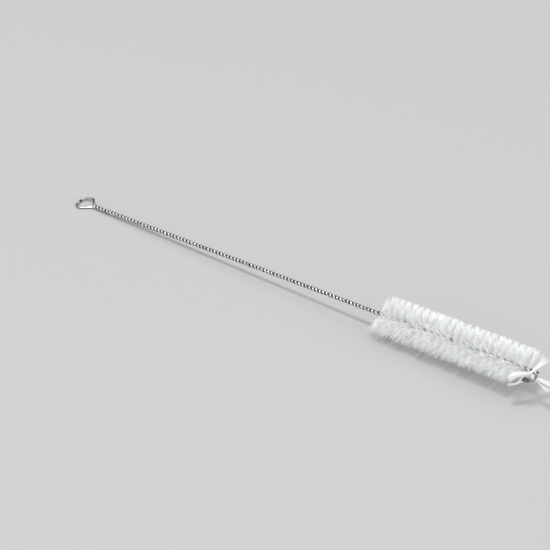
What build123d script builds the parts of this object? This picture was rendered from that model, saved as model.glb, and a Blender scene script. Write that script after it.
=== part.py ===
from build123d import *
import os
from math import acos, atan2, cos, degrees, hypot, radians, sin, sqrt

# Bottle brush: one wire, folded into a hanging ring and twisted, with nylon bristles clamped
# between its two legs and a tuft held at its tip. Millimetres.
# The brush is drawn standing on its ring: Z runs up the stem from the neck, where the ring
# closes, to the tip. At the end it is laid down as it comes to rest, with +X towards the tip.

# Wire
wire_d = 1.05
leg_gap = 0.04

# Bare shank
shank_pitch = 4.05
shank_turns = 42.0

# Head, twisted more slowly over the bristles clamped in it
head_d = 21.0
head_pitch = 7.45
head_turns = 11.75
ease_length = 2.0

# Bristles
clamped_layer = 0.30
layer_gap = 0.045
tufts_per_turn = 16
tuft_spread = 2.4
bare_tip = 3.6

# Hanging ring, bent by hand: how far each corner is to the side and back from the neck
neck_lead = 0.9
near_lead = 0.4
shoulder_side, shoulder_back = 4.7, 3.9
far_side, far_back = 2.3, 8.9
turn_side, turn_back = 3.8, 8.5
near_side, near_back = 4.6, 6.0
neck_bend = 1.2
shoulder_bend = 1.4
ring_bend = 2.0
near_bend = 1.6
straight_bend = 3.0

# Hook and eye at the tip, drawn for a leg that ends at this angle round the stem
leg_end_angle = 47.2
hook_lead = 1.5
hook_reach = 5.9
hook_front = 2.9
hook_drop = 0.4
eye_bend = 1.0
eye_straight = 0.1
eye_length = 5.2
eye_end_length = 3.6
eye_rise = 0.5
cut_end_length = 1.2

# Tuft in the hook: its fold, and each splayed end's direction and radius
knot_d = 1.0
knot_place = (1.2, 2.2, 1.6)
root_d = 0.96
tuft_length = 11.5
splayed_ends = {
    (2.6, 10.0, -3.4): 1.5,
    (3.6, -8.3, 3.2): 1.3,
    (-1.0, 0.6, 11.5): 1.4,
    (-4.2, 4.0, 8.6): 1.0,
}

# Values that follow from the sizes above
wire_r = wire_d / 2
head_r = head_d / 2
shank_lay = wire_r + leg_gap / 2
head_lay = wire_r + layer_gap + clamped_layer / 2
shank_length = shank_pitch * shank_turns
head_start = shank_length + ease_length
head_length = head_pitch * head_turns
stem_end = head_start + head_length
ease_turn = 180 * ease_length * (1 / shank_pitch + 1 / head_pitch)
head_phase = 360 * shank_turns + ease_turn
tip_turn = (head_phase + 360 * head_turns) % 360 - leg_end_angle
tip = Location((0, 0, stem_end), (0, 0, tip_turn))


def around(radius, angle, height):
    """A point at this radius, angle in degrees and height on the stem."""
    return Vector(radius * cos(radians(angle)), radius * sin(radians(angle)), height)


def at_tip(side, near, front):
    """A point given from the stem's end, turned with the end of the leg that is hooked."""
    return (tip * Pos(side, near, front)).position


def twisted_leg(phase):
    """One leg's line: the shank's helix, a short ease and the head's slower helix."""
    shank = Rot(0, 0, phase) * Helix(shank_pitch, shank_length, shank_lay, mode=Mode.PRIVATE)
    turned = Location((0, 0, head_start), (0, 0, phase + head_phase))
    head = turned * Helix(head_pitch, head_length, head_lay, mode=Mode.PRIVATE)
    half_way = around(
        (shank_lay + head_lay) / 2,
        phase + head_phase - ease_turn / 2,
        head_start - ease_length / 2,
    )
    ease = Spline(
        shank @ 1, half_way, head @ 0, tangents=[shank % 1, head % 0], mode=Mode.PRIVATE
    )
    return shank, ease, head


def hanging_ring(upper, lower):
    """The single wire between the legs, bent by hand into a rounded teardrop."""
    start = upper @ 0
    end = lower @ 0
    corners = [
        start,
        start - (upper % 0) * neck_lead,
        (start.X, -shoulder_side, -shoulder_back),
        (start.X / 2, -far_side, -far_back),
        (end.X / 2, turn_side, -turn_back),
        (end.X, near_side, -near_back),
        end - (lower % 0) * near_lead,
        end,
    ]
    bends = [neck_bend, shoulder_bend, ring_bend, ring_bend, near_bend, straight_bend]
    return FilletPolyline(*corners, radius=bends, mode=Mode.PRIVATE)


def hook_and_eye(leg):
    """The leg's end, turned aside under the tuft's fold and doubled back into a narrow eye."""
    start = leg @ 1
    back = hook_front - eye_length
    outer = hook_reach + 2 * eye_bend + eye_straight
    corners = [
        start,
        start + (leg % 1) * hook_lead,
        at_tip(-hook_drop, hook_reach, hook_front),
        at_tip(-hook_drop, hook_reach, back),
        at_tip(-hook_drop / 2, outer, back),
        at_tip(eye_rise - hook_drop, outer, back + eye_end_length),
    ]
    return FilletPolyline(*corners, radius=eye_bend, mode=Mode.PRIVATE)


# Stem wire: one round section swept along the whole path, from cut end to eye
upper_leg = twisted_leg(0)
lower_leg = twisted_leg(180)
with BuildPart() as stem_wire:
    with BuildLine() as wire_path:
        add(hook_and_eye(upper_leg[-1]))
        add(upper_leg)
        add(hanging_ring(upper_leg[0], lower_leg[0]))
        add(lower_leg)
        cut_from = lower_leg[-1] @ 1
        Line(cut_from, cut_from + (lower_leg[-1] % 1) * cut_end_length)
    centreline = wire_path.wires()[0]
    with BuildSketch(Plane(origin=centreline @ 0, z_dir=centreline % 0)):
        Circle(wire_r)
    sweep(path=centreline)
wire_length = centreline.length

# Bristle head: tufts that fan out from between the legs, stepped round with the twist
tuft_step = head_pitch / tufts_per_turn
tuft_angle = 360 / tufts_per_turn
tuft_count = round((head_length - bare_tip) / tuft_step)
tuft_reach = sqrt(head_r**2 - (tuft_spread / 2) ** 2)
with BuildPart() as fan:
    with BuildSketch():
        with BuildLine():
            Polyline(
                (-clamped_layer / 2, 0),
                (-tuft_spread / 2, tuft_reach),
                (tuft_spread / 2, tuft_reach),
                (clamped_layer / 2, 0),
                (tuft_spread / 2, -tuft_reach),
                (-tuft_spread / 2, -tuft_reach),
                close=True,
            )
        make_face()
    extrude(amount=tuft_step)

first_angle = head_phase + tuft_angle / 2
fan_places = [
    Location((0, 0, head_start + i * tuft_step), (0, 0, first_angle + i * tuft_angle))
    for i in range(tuft_count)
]
with BuildPart() as bristle_head:
    with Locations(*fan_places):
        add(fan.part)

# Tip tuft: one bundle folded over the hook, its ends splayed in four directions
knot = at_tip(*knot_place)
with BuildPart() as tip_tuft:
    with Locations(knot):
        Sphere(knot_d / 2)
    for towards, end_radius in splayed_ends.items():
        heading = (at_tip(*towards) - at_tip(0, 0, 0)).normalized()
        with BuildSketch(Plane(origin=knot, z_dir=heading)):
            Circle(root_d / 2)
        with BuildSketch(Plane(origin=knot + heading * tuft_length, z_dir=heading)):
            Circle(end_radius)
        loft()

# Rest: the ring's far end and the head's rear bristles touch the surface
support_span = head_start + max(far_back, turn_back)
tilt = acos(wire_r / hypot(head_r, support_span)) - atan2(support_span, head_r)
lying = Plane(
    origin=(0, 0, 0), x_dir=(-sin(tilt), 0, cos(tilt)), z_dir=(cos(tilt), 0, sin(tilt))
).location

pieces = {"stem_wire": stem_wire, "bristle_head": bristle_head, "tip_tuft": tip_tuft}
for piece in pieces.values():
    piece.part.location = lying
box = stem_wire.part.bounding_box()
for piece in (bristle_head, tip_tuft):
    box = box.add(piece.part.bounding_box())
centred = Location((-(box.min.X + box.max.X) / 2, -(box.min.Y + box.max.Y) / 2, -box.min.Z))

os.makedirs("parts", exist_ok=True)
for name, piece in pieces.items():
    piece.part.location = centred * lying
    piece.part.label = name
    export_step(piece.part, f"parts/{name}.step")

print(f"wire length {wire_length:.1f} mm, tilt at rest {degrees(tilt):.2f} degrees")
print(f"neck at {(centred * lying).position}, tufts {tuft_count}, box {box.size}")
print(f"head start {head_start:.3f}, stem end {stem_end:.3f}, head turned {head_phase % 360:.3f}")
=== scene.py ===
"""A twisted-wire bottle brush: bright steel wire, clear nylon bristles, lying on a pale table.

Lengths are in millimetres along the stem, as in the part's own drawing, until `laid` turns them
into metres where the brush lies. The stem runs along z from the neck of its hanging ring.
Angles round the stem are counted from straight above towards the camera's side.
"""

import bpy
import numpy as np
from mathutils import Matrix


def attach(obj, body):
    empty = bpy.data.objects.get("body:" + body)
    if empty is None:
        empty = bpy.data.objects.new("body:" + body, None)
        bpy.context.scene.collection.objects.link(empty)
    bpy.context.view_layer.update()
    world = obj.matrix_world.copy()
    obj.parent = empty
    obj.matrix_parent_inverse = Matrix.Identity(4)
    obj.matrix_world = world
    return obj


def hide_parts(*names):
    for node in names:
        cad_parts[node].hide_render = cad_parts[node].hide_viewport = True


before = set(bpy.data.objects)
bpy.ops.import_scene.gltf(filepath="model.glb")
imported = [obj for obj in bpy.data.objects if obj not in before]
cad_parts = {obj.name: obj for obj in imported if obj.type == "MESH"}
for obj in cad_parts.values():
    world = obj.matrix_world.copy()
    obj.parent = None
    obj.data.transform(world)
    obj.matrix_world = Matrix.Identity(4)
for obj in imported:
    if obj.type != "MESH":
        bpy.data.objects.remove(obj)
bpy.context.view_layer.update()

MM_PER_M = 1000

# The head and the tuft's knot, as the part gives them
HEAD_START = 172.1
STEM_END = 259.637
HEAD_PITCH = 7.45
HEAD_RADIUS = 10.5
HEAD_TURN = np.radians(137.211)
BARE_TIP = 3.6
KNOT = np.array([1.2, 2.2, STEM_END + 1.6])

# Where the stem lies: its tilt, where its neck rests, and how low a filament may reach
TILT = 0.05505041806498201
NECK = np.array([-131.50123, 1.43646, 1.37839])
ALONG = np.array([np.cos(TILT), 0.0, np.sin(TILT)])
ABOVE = np.array([-np.sin(TILT), 0.0, np.cos(TILT)])
NEAR = np.array([0.0, -1.0, 0.0])
LOWEST = 0.04

# The wire's colour by its distance from the stem's middle line: painted shade in the groove of
# the twist, a painted highlight on the crest, plain grey on the ring and the hook farther out,
# and painted shade on the eye beyond them
WIRE_COLOUR_AND_PAINTED_LIGHT = {
    0.72: (0.075, 0.071, 0.068, 1),
    1.0: (0.70, 0.687, 0.67, 1),
    1.6: (0.60, 0.59, 0.575, 1),
    2.2: (0.38, 0.37, 0.36, 1),
    5.8: (0.38, 0.37, 0.36, 1),
    6.6: (0.17, 0.16, 0.155, 1),
}
WIRE_RAMP_REACH = 9.0
WIRE_ROUGHNESS = (0.22, 0.14)
GRAIN_SCALE, GRAIN_DETAIL = 900, 3
GRAIN_SHIFT = 0.1

# Between the bristles it is pale and rougher instead, and it changes over these heights
HEAD_WIRE = (0.58, 0.60, 0.55, 1)
HEAD_WIRE_SHARE = 0.85
HEAD_WIRE_ROUGHER = 0.35
HEAD_WIRE_FROM = (HEAD_START - 2, HEAD_START + 3)
HEAD_WIRE_TO = (STEM_END - 4, STEM_END - 2)

# One nylon filament: its diameter, the corners of its section, and its stations along it
FILAMENT = 0.16
CORNERS = 3
BRISTLE_STATIONS = 5
STRAND_STATIONS = 22

# The head's bristles: their thickness, and where their roots are on the nylon's colour scale
BRISTLES_PER_SPIRAL = 3600
BRISTLE_TAPER = 0.2
BRISTLE_THICKNESS = (0.85, 1.15)
ROOT_REACH = 0.15

# They gather into locks. A few stray from theirs, with more noise in their spread and lean
LOCKS_PER_TURN = 80
LOCK_PULL = (0.2, 0.8)
STRAY_SHARE, STRAY_TIMES = 0.12, 4
SPREAD_NOISE, SPREAD_LOCK_NOISE = 0.035, 0.03
LEAN_NOISE, LEAN_LOCK_NOISE = 0.055, 0.055
TRIM_NOISE, TRIM_LOCK_NOISE = 0.045, 0.01
TONE_MIDDLE, TONE_NOISE, TONE_LOCK_NOISE = 0.5, 0.16, 0.22

# They lean along the stem: forward at the top, back below, and farther back at both ends
LEAN, LEAN_TURN = 0.24, np.radians(10)
LEAN_BACK = 0.09
END_LEAN, END_REACH = 0.05, 4.0
ROOT_STIFFNESS = 0.15

# The head's ends are slanted, and its tips are worn short and uneven on one side
FIRST = 1.5
REAR_SLANT, REAR_TURN = 4.0, np.radians(25)
FRONT_SLANT, FRONT_TURN = 7.5, np.radians(-40)
WORN, WORN_TURN = 0.16, np.radians(130)

# The tuft's bundles: the points that each runs through, from end to end past the hook, measured
# from the knot above, near and ahead; its half width from end to end; its number of filaments;
# and how far along it the hook holds it
OVER_HOOK = [(3.6, -3.2, 1.0), (2.4, -0.4, -0.4), (0.2, 1.0, -2.3)]
UNDER_HOOK = [(-2.9, 1.2, 0.5), (-1.5, 0.9, -1.4), (-0.1, 1.0, -2.4)]
TUFT_BUNDLES = [
    (
        [(4.7, -6.8, 2.3), *OVER_HOOK, (1.2, 4.2, -3.4), (1.8, 7.4, -5.8), (-0.4, 10.3, -8.6)],
        [1.1, 0.7, 0.5, 0.7, 0.9, 1.3, 1.5],
        90,
        0.5,
    ),
    (
        [(-1.6, 1.2, 11.2), (-1.7, 1.5, 6.5), (-1.2, 1.6, 2.6), *UNDER_HOOK]
        + [(0.9, 4.4, -3.6), (1.3, 7.4, -6.2), (-1.0, 10.2, -8.8)],
        [1.0, 0.8, 0.5, 0.5, 0.7, 0.7, 0.9, 1.3, 1.5],
        80,
        0.62,
    ),
    (
        [(7.4, -5.5, 1.6), (4.4, -2.6, 0.2), (2.2, -0.3, -0.8), (0.2, 1.0, -2.3)]
        + [(0.4, 4.6, -3.4), (-2.4, 8.0, -5.0), (-3.7, 10.2, -9.3)],
        [1.2, 0.7, 0.5, 0.6, 0.3, 0.3, 0.5],
        12,
        0.5,
    ),
    (
        [(-4.7, 2.7, 9.3), (-4.1, 2.6, 6.0), (-2.9, 1.8, 2.6), *UNDER_HOOK]
        + [(-2.0, 2.6, -3.4), (-4.4, 5.0, -5.6), (-4.6, 9.6, -9.6)],
        [0.4, 0.3, 0.3, 0.4, 0.5, 0.5, 0.5, 0.5, 0.8],
        16,
        0.62,
    ),
]

# How far the bundles' filaments are trimmed and stray, how thick and bright they are, how far
# from the fold they stay cream, and a direction that no bundle runs along
STRAND_TRIM = 0.07
STRAND_STRAY = 0.9
STRAND_THICKNESS, STRAND_TAPER = 1.15, 0.3
STRAND_TONE = (0.3, 1)
FOLD_REACH = 0.35
SIDEWAYS = np.array([1.0, 0.3, 0.2])

TABLE_HALF = 3.0

rng = np.random.default_rng(7)


def laid(points):
    """Stem coordinates to the table: neck + x above + y near + z along, never under the table."""
    flat = points[..., :1] * ABOVE + points[..., 1:2] * NEAR + points[..., 2:] * ALONG + NECK
    flat[..., 2] = np.maximum(flat[..., 2], LOWEST)
    return flat / MM_PER_M


def unit(vectors):
    """Each vector over its own length."""
    return vectors / np.linalg.norm(vectors, axis=-1, keepdims=True)


def in_scene(name, data):
    """A new object of this data in the scene, at the origin."""
    placed = bpy.data.objects.new(name, data)
    bpy.context.scene.collection.objects.link(placed)
    return placed


def filaments(name, lines, radius, reach, tone):
    """Many thin closed tubes at once.

    lines is (filament, station, xyz) in metres. The corner j of a tube at a station is the line's
    point + radius (cos a u + sin a v), with a = 2 pi j / corners, and u and v across the line.
    Every point keeps its reach, which grows to 1 at a tip, and its filament's tone, for the nylon.
    """
    count, stations = lines.shape[:2]
    ahead = unit(np.gradient(lines, axis=1))
    aside = unit(np.cross(ahead, unit(rng.normal(size=(count, 1, 3)))))
    other = np.cross(ahead, aside)
    angle = 2 * np.pi * np.arange(CORNERS) / CORNERS
    ring = (
        np.cos(angle)[:, None] * aside[:, :, None, :]
        + np.sin(angle)[:, None] * other[:, :, None, :]
    )
    points = lines[:, :, None, :] + radius[..., None, None] * ring
    index = np.arange(count * stations * CORNERS).reshape(count, stations, CORNERS)
    turned = np.roll(index, -1, axis=2)
    sides = np.stack(
        [index[:, :-1], turned[:, :-1], turned[:, 1:], index[:, 1:]], axis=-1
    ).reshape(-1, 4)
    ends = np.concatenate([index[:, 0, ::-1], index[:, -1]])
    mesh = bpy.data.meshes.new(name)
    mesh.vertices.add(index.size)
    mesh.vertices.foreach_set("co", points.astype(np.float32).ravel())
    corners = np.concatenate([sides.ravel(), ends.ravel()]).astype(np.int32)
    starts = np.concatenate(
        [np.arange(len(sides)) * 4, len(sides) * 4 + np.arange(len(ends)) * CORNERS]
    ).astype(np.int32)
    mesh.loops.add(len(corners))
    mesh.loops.foreach_set("vertex_index", corners)
    mesh.polygons.add(len(starts))
    mesh.polygons.foreach_set("loop_start", starts)
    mesh.update(calc_edges=True)
    mesh.validate()
    mesh.shade_smooth()
    along = mesh.attributes.new("reach", "FLOAT", "POINT")
    along.data.foreach_set("value", np.repeat(reach.ravel(), CORNERS).astype(np.float32))
    shade = mesh.attributes.new("tone", "FLOAT", "POINT")
    shade.data.foreach_set("value", np.repeat(tone, stations * CORNERS).astype(np.float32))
    return in_scene(name, mesh)


def bristles(name, side, count):
    """One of the head's two spirals.

    A bristle at height z leaves the stem at the angle head turn + 2 pi z / pitch + its side. At
    the distance r from the stem it has moved along it by r tan(lean), and its tip is drawn round
    the stem towards the middle of its lock. The lean is LEAN cos(angle - LEAN_TURN), less
    LEAN_BACK, less END_LEAN that dies away from both ends. Bristles are kept from FIRST +
    REAR_SLANT cos(angle - REAR_TURN) up to the end + FRONT_SLANT cos(angle - FRONT_TURN). They
    are trimmed at the head's radius, less a random share that is largest round WORN_TURN.
    """
    long = STEM_END - BARE_TIP - HEAD_START
    height = np.sort(rng.uniform(0, long, count))
    lock_count = int(long / HEAD_PITCH * LOCKS_PER_TURN)
    lock = np.searchsorted(np.sort(rng.uniform(0, long, lock_count)), height)
    middle = (np.bincount(lock, height) / np.maximum(np.bincount(lock), 1))[lock]
    drawn = rng.normal(size=(lock.max() + 1, 4))[lock]
    pull = rng.uniform(*LOCK_PULL, count)
    stray = np.where(rng.uniform(size=count) < STRAY_SHARE, STRAY_TIMES, 1)
    angle = HEAD_TURN + 2 * np.pi * height / HEAD_PITCH + side
    rear = FIRST + REAR_SLANT * np.cos(angle - REAR_TURN)
    front = long + FRONT_SLANT * np.cos(angle - FRONT_TURN)
    kept = (height >= rear) & (height <= front)
    trim = TRIM_NOISE + WORN * np.maximum(np.cos(angle - WORN_TURN), 0) ** 2
    spread = (
        pull * 2 * np.pi * (middle - height) / HEAD_PITCH
        + rng.normal(0, SPREAD_NOISE, count) * stray
        + SPREAD_LOCK_NOISE * drawn[:, 0]
    )
    lean = (
        LEAN * np.cos(angle - LEAN_TURN)
        - LEAN_BACK
        - END_LEAN * (np.exp(-height / END_REACH) + np.exp(-(long - height) / END_REACH))
        + rng.normal(0, LEAN_NOISE, count) * stray
        + LEAN_LOCK_NOISE * drawn[:, 1]
    )
    cut = 1 - trim * np.abs(rng.normal(size=count)) + TRIM_LOCK_NOISE * drawn[:, 2]
    t = np.linspace(0, 1, BRISTLE_STATIONS)[None, :]
    out = (HEAD_RADIUS * cut)[:, None] * t
    turn = angle[:, None] + spread[:, None] * t
    bend = 1 - ROOT_STIFFNESS + ROOT_STIFFNESS * t
    z = HEAD_START + height[:, None] + out * np.tan(lean)[:, None] * bend
    lines = np.stack([out * np.cos(turn), out * np.sin(turn), z], axis=-1)[kept]
    thickness = (1 - BRISTLE_TAPER * t) * rng.uniform(*BRISTLE_THICKNESS, (count, 1))
    radius = FILAMENT / 2 / MM_PER_M * thickness[kept]
    reach = ROOT_REACH + (1 - ROOT_REACH) * np.broadcast_to(t, radius.shape)
    tone = TONE_MIDDLE + TONE_LOCK_NOISE * drawn[:, 3] + rng.normal(0, TONE_NOISE, count)
    return filaments(name, laid(lines), radius, reach, np.clip(tone, 0, 1)[kept])


def curve(points, t):
    """Catmull-Rom curve: smooth through every point, t from 0 at the first to 1 at the last."""
    before, after = 2 * points[:1] - points[1:2], 2 * points[-1:] - points[-2:-1]
    padded = np.concatenate([before, points, after])
    at = np.clip(t, 0, 1) * (len(points) - 1)
    i = np.minimum(at.astype(int), len(points) - 2)
    u = (at - i)[:, None]
    p0, p1, p2, p3 = (padded[i + k] for k in range(4))
    return 0.5 * (
        2 * p1
        + (p2 - p0) * u
        + (2 * p0 - 5 * p1 + 4 * p2 - p3) * u**2
        + (3 * p1 - p0 - 3 * p2 + p3) * u**3
    )


def strands(points, widths, count, fold):
    """One of the tuft's bundles: its filaments' lines, and how far from the fold each point is.

    A filament keeps its place across a smooth curve through the points, which opens out by the
    widths. It strays from it with the square of its distance from the fold, and is trimmed a
    little at both ends.
    """
    points = np.asarray(points, float) + KNOT
    trim = rng.uniform(0, STRAND_TRIM, (2, count, 1))
    t = np.linspace(0, 1, STRAND_STATIONS)[None, :]
    t = trim[0] + t * (1 - trim[0] - trim[1])
    mid = curve(points, t.ravel()).reshape(count, STRAND_STATIONS, 3)
    ahead = unit(np.gradient(mid, axis=1))
    aside = unit(np.cross(ahead, SIDEWAYS))
    other = np.cross(ahead, aside)
    place = np.sqrt(rng.uniform(0, 1, count)) * np.exp(2j * np.pi * rng.uniform(0, 1, count))
    place = place[:, None] * np.interp(t, np.linspace(0, 1, len(widths)), widths)
    away = np.abs(t - fold)
    stray = (rng.normal(size=(count, 2)) @ np.array([1, 1j]))[:, None]
    place = place + stray * STRAND_STRAY * away**2
    lines = mid + place.real[..., None] * aside + place.imag[..., None] * other
    return lines, np.clip(away / FOLD_REACH, 0, 1)


def new_node(tree, kind, inputs=None, **settings):
    """A new node of a material or world, with its settings, then each input by name or number.

    An input is a plain value, or the output that it is linked from.
    """
    made = tree.nodes.new("ShaderNode" + kind)
    for setting, value in settings.items():
        setattr(made, setting, value)
    for socket, value in (inputs or {}).items():
        if isinstance(value, bpy.types.NodeSocket):
            tree.links.new(value, made.inputs[socket])
        else:
            made.inputs[socket].default_value = value
    return made


def colour_ramp(tree, value, stops):
    """The colour that the stops give for a value between 0 and 1."""
    ramp = new_node(tree, "ValToRGB", {"Fac": value})
    elements = ramp.color_ramp.elements
    elements.remove(elements[1])
    for i, (position, colour) in enumerate(stops.items()):
        stop = elements.new(position) if i else elements[0]
        stop.position = position
        stop.color = colour
    return ramp.outputs["Color"]


def new_material(name):
    """A new material, its node tree and its shader."""
    made = bpy.data.materials.new(name)
    made.use_nodes = True
    return made, made.node_tree, made.node_tree.nodes["Principled BSDF"]


def nylon(name):
    """Clear nylon filament: cream where it is folded, greener and darker near the wire as painted
    shade, white outside.

    The little light that it gives off stands for what clear filaments pass on to each other.
    """
    made, tree, shader = new_material(name)
    reach = new_node(tree, "Attribute", attribute_name="reach")
    tone = new_node(tree, "Attribute", attribute_name="tone")
    # painted shade: the filaments are greener and darker near the wire, whiter towards their tips
    by_reach = {
        0: (0.90, 0.83, 0.76, 1),
        0.15: (0.88, 0.89, 0.84, 1),
        0.75: (0.97, 0.975, 0.975, 1),
    }
    by_tone = {0: (0.86, 0.865, 0.865, 1), 0.7: (1, 1, 1, 1)}
    both = new_node(
        tree,
        "Mix",
        {
            "Factor": 1.0,
            "A": colour_ramp(tree, reach.outputs["Fac"], by_reach),
            "B": colour_ramp(tree, tone.outputs["Fac"], by_tone),
        },
        data_type="RGBA",
        blend_type="MULTIPLY",
    )
    tree.links.new(both.outputs["Result"], shader.inputs["Base Color"])
    shader.inputs["Roughness"].default_value = 0.35
    shader.inputs["IOR"].default_value = 1.53
    shader.inputs["Emission Color"].default_value = (0.95, 0.97, 0.97, 1)
    shader.inputs["Emission Strength"].default_value = 0.12
    return made


def drawn_steel_painted_light(name):
    """Drawn wire, with painted shade in the groove of the twist and a painted highlight on its
    crest.

    Its colour follows the distance from the stem's middle line, shifted a little by a fine grain,
    and it is paler and rougher between the bristles.
    """
    made, tree, shader = new_material(name)
    shader.inputs["Metallic"].default_value = 1.0
    place = new_node(tree, "TexCoord").outputs["Object"]
    stem = new_node(
        tree,
        "Mapping",
        {"Vector": place, "Location": NECK / MM_PER_M, "Rotation": (0, np.pi / 2 - TILT, 0)},
        vector_type="TEXTURE",
    ).outputs["Vector"]
    across = new_node(tree, "VectorMath", {0: stem, 1: (1, 1, 0)}, operation="MULTIPLY")
    distance = new_node(tree, "VectorMath", {0: across.outputs["Vector"]}, operation="LENGTH")
    height = new_node(tree, "SeparateXYZ", {"Vector": stem}).outputs["Z"]
    grain = new_node(
        tree, "TexNoise", {"Vector": place, "Scale": GRAIN_SCALE, "Detail": GRAIN_DETAIL}
    ).outputs["Fac"]

    def past(heights):
        """0 below the heights, rising over them to the share of the head's finish."""
        low, high = (at / MM_PER_M for at in heights)
        inputs = {"Value": height, "From Min": low, "From Max": high, "To Max": HEAD_WIRE_SHARE}
        return new_node(tree, "MapRange", inputs).outputs["Result"]

    in_head = new_node(
        tree, "Math", {0: past(HEAD_WIRE_FROM), 1: past(HEAD_WIRE_TO)}, operation="SUBTRACT"
    ).outputs["Value"]
    shift = new_node(
        tree, "Math", {0: grain, 1: GRAIN_SHIFT, 2: -GRAIN_SHIFT / 2}, operation="MULTIPLY_ADD"
    ).outputs["Value"]
    read_at = new_node(
        tree,
        "Math",
        {0: distance.outputs["Value"], 1: MM_PER_M / WIRE_RAMP_REACH, 2: shift},
        operation="MULTIPLY_ADD",
    ).outputs["Value"]
    # the stops paint shade in the groove and on the eye, and a highlight on the crest
    stops = {reached / WIRE_RAMP_REACH: colour for reached, colour in WIRE_COLOUR_AND_PAINTED_LIGHT.items()}
    colour = new_node(
        tree,
        "Mix",
        {"Factor": in_head, "A": colour_ramp(tree, read_at, stops), "B": HEAD_WIRE},
        data_type="RGBA",
    )
    tree.links.new(colour.outputs["Result"], shader.inputs["Base Color"])
    duller, polished = WIRE_ROUGHNESS
    polish = new_node(tree, "MapRange", {"Value": grain, "To Min": duller, "To Max": polished})
    rough = new_node(
        tree,
        "Math",
        {0: in_head, 1: HEAD_WIRE_ROUGHER, 2: polish.outputs["Result"]},
        operation="MULTIPLY_ADD",
    )
    tree.links.new(rough.outputs["Value"], shader.inputs["Roughness"])
    return made


def table_top():
    """The plain pale table, one flat square sheet."""
    mesh = bpy.data.meshes.new("table_top")
    s = TABLE_HALF
    mesh.from_pydata([(-s, -s, 0), (s, -s, 0), (s, s, 0), (-s, s, 0)], [], [(0, 1, 2, 3)])
    top = in_scene("table_top", mesh)
    made, _, shader = new_material("pale_table")
    shader.inputs["Base Color"].default_value = (0.494, 0.501, 0.495, 1)
    shader.inputs["Roughness"].default_value = 0.9
    shader.inputs["Specular IOR Level"].default_value = 0.1
    mesh.materials.append(made)


steel = drawn_steel_painted_light("drawn_wire_painted_light")
clear_nylon = nylon("clear_nylon")

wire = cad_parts["stem_wire"]
wire.data.materials.clear()
wire.data.materials.append(steel)

spiral_a = bristles("bristle_spiral_a", np.pi / 2, BRISTLES_PER_SPIRAL)
spiral_b = bristles("bristle_spiral_b", -np.pi / 2, BRISTLES_PER_SPIRAL)

bundles = [strands(*bundle) for bundle in TUFT_BUNDLES]
tuft_lines = np.concatenate([lines for lines, _ in bundles])
tuft_reach = np.concatenate([reach for _, reach in bundles])
tuft = filaments(
    "tip_tuft_strands",
    laid(tuft_lines),
    FILAMENT / 2 / MM_PER_M * (STRAND_THICKNESS - STRAND_TAPER * tuft_reach),
    tuft_reach,
    rng.uniform(*STRAND_TONE, len(tuft_lines)),
)

for piece, node in ((spiral_a, "bristle_head"), (spiral_b, "bristle_head"), (tuft, "tip_tuft")):
    piece.data.materials.append(clear_nylon)
    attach(piece, "root")
    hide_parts(node)

table_top()

# Studio: a broad soft box high over the camera's side of the table, dimmer all round it
SOFT_BOX_TURN, SOFT_BOX_LEAN = np.radians([36.5, 24])
SOFT_BOX = {0.15: (0.2, 0.2, 0.2, 1), 0.55: (0.96, 0.97, 0.98, 1)}
world = bpy.data.worlds.new("studio")
bpy.context.scene.world = world
world.use_nodes = True
studio = world.node_tree
towards_soft_box = (
    np.sin(SOFT_BOX_TURN) * np.sin(SOFT_BOX_LEAN),
    -np.cos(SOFT_BOX_TURN) * np.sin(SOFT_BOX_LEAN),
    np.cos(SOFT_BOX_LEAN),
)
way = new_node(studio, "TexCoord").outputs["Generated"]
facing = new_node(studio, "VectorMath", {0: way, 1: towards_soft_box}, operation="DOT_PRODUCT")
background = studio.nodes["Background"]
studio.links.new(
    colour_ramp(studio, facing.outputs["Value"], SOFT_BOX), background.inputs["Color"]
)
background.inputs["Strength"].default_value = 1.13

# A small round lamp almost overhead, which draws the shadow
LAMP_LEAN = np.radians(14)
LAMP_DISTANCE = 2.0
lamp = bpy.data.lights.new("overhead_lamp", "AREA")
lamp.shape = "DISK"
lamp.size = 0.4
lamp.energy = 15.5
overhead = in_scene("overhead_lamp", lamp)
overhead.location = (0.0, -LAMP_DISTANCE * np.sin(LAMP_LEAN), LAMP_DISTANCE * np.cos(LAMP_LEAN))
overhead.rotation_euler = (LAMP_LEAN, 0, 0)

# Camera, from the photograph's angle
AZIMUTH, ELEVATION = np.radians([36.52, 35.70])
DISTANCE = 1.6716
LOOKS_AT = np.array([-0.02605, 0.0094, 0])
back = np.array(
    [np.sin(AZIMUTH) * np.cos(ELEVATION), -np.cos(AZIMUTH) * np.cos(ELEVATION), np.sin(ELEVATION)]
)
right = np.array([np.cos(AZIMUTH), np.sin(AZIMUTH), 0])
upward = np.cross(back, right)
eye = LOOKS_AT + DISTANCE * back
camera = in_scene("camera", bpy.data.cameras.new("camera"))
camera.data.lens = 227.26
camera.data.sensor_width = 36
camera.data.clip_start = 0.05
camera.data.clip_end = 20
rows = zip(np.stack([right, upward, back], axis=1), eye)
camera.matrix_world = Matrix([[*row, moved] for row, moved in rows] + [[0, 0, 0, 1]])
bpy.context.scene.camera = camera

bpy.context.scene.view_settings.view_transform = "Standard"
